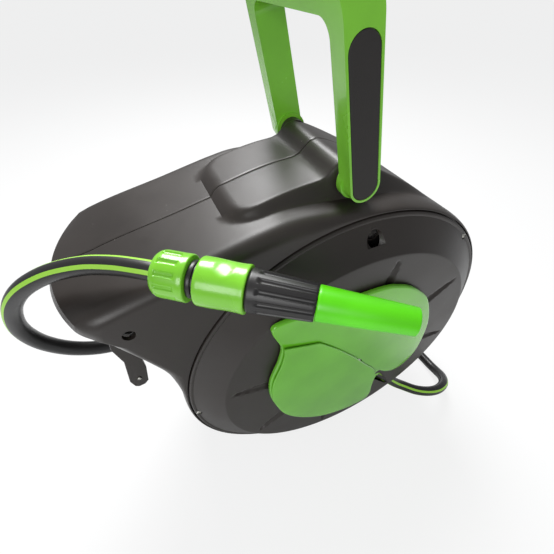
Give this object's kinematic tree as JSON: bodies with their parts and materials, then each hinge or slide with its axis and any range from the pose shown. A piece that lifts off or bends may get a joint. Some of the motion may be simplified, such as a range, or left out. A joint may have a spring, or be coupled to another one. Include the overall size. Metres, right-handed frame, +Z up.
{
  "type": "garden hose reel cart",
  "caption": "Closed garden hose reel with a round hood, a flat green crank on one side, a folding carry handle on top, and a hose that ends in a snap connector and a twist nozzle.",
  "frame": {"origin": "middle of the box round the cart without its loose hose, on the floor", "axes": "+Z up, -X towards the nose where the hose comes out, -Y towards the side with the crank"},
  "size_m": [0.5307, 0.5135, 0.5447],
  "materials": {
    "body_black": "satin, fine moulded grain",
    "black_plastic": "satin",
    "soft_black": "soft matt",
    "grey_plastic": "matt",
    "white_plastic": "satin",
    "crank_green": "gloss",
    "fitting_green": "gloss",
    "tip_green": "gloss",
    "hose_black": "satin, with two lime stripes",
    "seal_rubber": "matt",
    "zinc_steel": "zinc plated"
  },
  "bodies": {
    "housing": {"base_frame": "body_black", "bush_far": "white_plastic", "bush_near": "white_plastic", "cover_far": "body_black", "cover_near": "body_black", "cover_screw_far_1": "zinc_steel", "cover_screw_far_2": "zinc_steel", "cover_screw_far_3": "zinc_steel", "cover_screw_far_4": "zinc_steel", "cover_screw_near_1": "zinc_steel", "cover_screw_near_2": "zinc_steel", "cover_screw_near_3": "zinc_steel", "cover_screw_near_4": "zinc_steel", "foot_front_far": "seal_rubber", "foot_front_near": "seal_rubber", "foot_rear_far": "seal_rubber", "foot_rear_near": "seal_rubber", "free_hose": "hose_black", "guide_roller_bottom_pin": "zinc_steel", "guide_roller_top_pin": "zinc_steel", "handle_pin_far": "zinc_steel", "handle_pin_near": "zinc_steel", "hood_far": "body_black", "hood_near": "body_black", "hose_body": "black_plastic", "hose_guide": "body_black", "hose_nut": "fitting_green", "inlet_collar": "black_plastic", "inlet_gland": "fitting_green", "inlet_seal": "seal_rubber", "leader_coil": "hose_black", "leader_hose": "hose_black", "leader_tail": "hose_black", "nose_screw": "zinc_steel", "nozzle_barrel": "black_plastic", "nozzle_seal": "seal_rubber", "nozzle_stem": "black_plastic", "tap_body": "black_plastic", "tap_nut": "fitting_green"},
    "drum": {"drum_core": "grey_plastic", "flange_near": "grey_plastic", "flange_far": "grey_plastic", "wound_hose": "hose_black", "drum_shaft": "zinc_steel", "hose_spigot": "black_plastic", "crank_arm": "crank_green", "crank_cover": "crank_green", "crank_grip_pin": "zinc_steel", "crank_screw": "zinc_steel"},
    "grip": {"crank_grip": "black_plastic"},
    "handle": {"handle_frame": "crank_green", "handle_insert_near": "soft_black", "handle_insert_far": "soft_black", "handle_pad": "soft_black"},
    "roller_top": {"guide_roller_top": "grey_plastic"},
    "roller_bottom": {"guide_roller_bottom": "grey_plastic"},
    "connector_sleeve": {"hose_sleeve": "fitting_green"},
    "tap_connector_sleeve": {"tap_sleeve": "fitting_green"},
    "tip": {"nozzle_tip": "tip_green"}
  },
  "joints": [
    {"name": "drum_spin", "type": "hinge", "parent": "housing", "child": "drum", "pos_m": [0.036, 0.0051, 0.2], "axis": [0, 1, 0], "continuous": true},
    {"name": "grip_fold", "type": "hinge", "parent": "drum", "child": "grip", "pos_m": [0.09648, -0.1033, 0.23818], "axis": [0.6293, 0, 0.7771], "range_deg": [0, 90]},
    {"name": "handle_fold", "type": "hinge", "parent": "housing", "child": "handle", "pos_m": [0.028, 0.0051, 0.411], "axis": [0, -1, 0], "range_deg": [0, 78]},
    {"name": "roller_top_spin", "type": "hinge", "parent": "housing", "child": "roller_top", "pos_m": [-0.1905, 0.0051, 0.278], "axis": [0, 1, 0], "continuous": true},
    {"name": "roller_bottom_spin", "type": "hinge", "parent": "housing", "child": "roller_bottom", "pos_m": [-0.191, 0.0051, 0.2215], "axis": [0, 1, 0], "continuous": true},
    {"name": "connector_sleeve_slide", "type": "slide", "parent": "housing", "child": "connector_sleeve", "axis": [-0.7987, 0.6008, 0.034], "range_m": [0, 0.0045], "stiffness_N_per_m": 300, "springref_m": -0.005},
    {"name": "tap_connector_sleeve_slide", "type": "slide", "parent": "housing", "child": "tap_connector_sleeve", "axis": [1, 0, 0], "range_m": [0, 0.0045], "stiffness_N_per_m": 300, "springref_m": -0.005},
    {"name": "tip_twist", "type": "hinge", "parent": "housing", "child": "tip", "pos_m": [-0.1265, -0.08575, 0.3882], "axis": [0.7987, -0.6008, -0.034], "range_deg": [0, 270]}
  ]
}
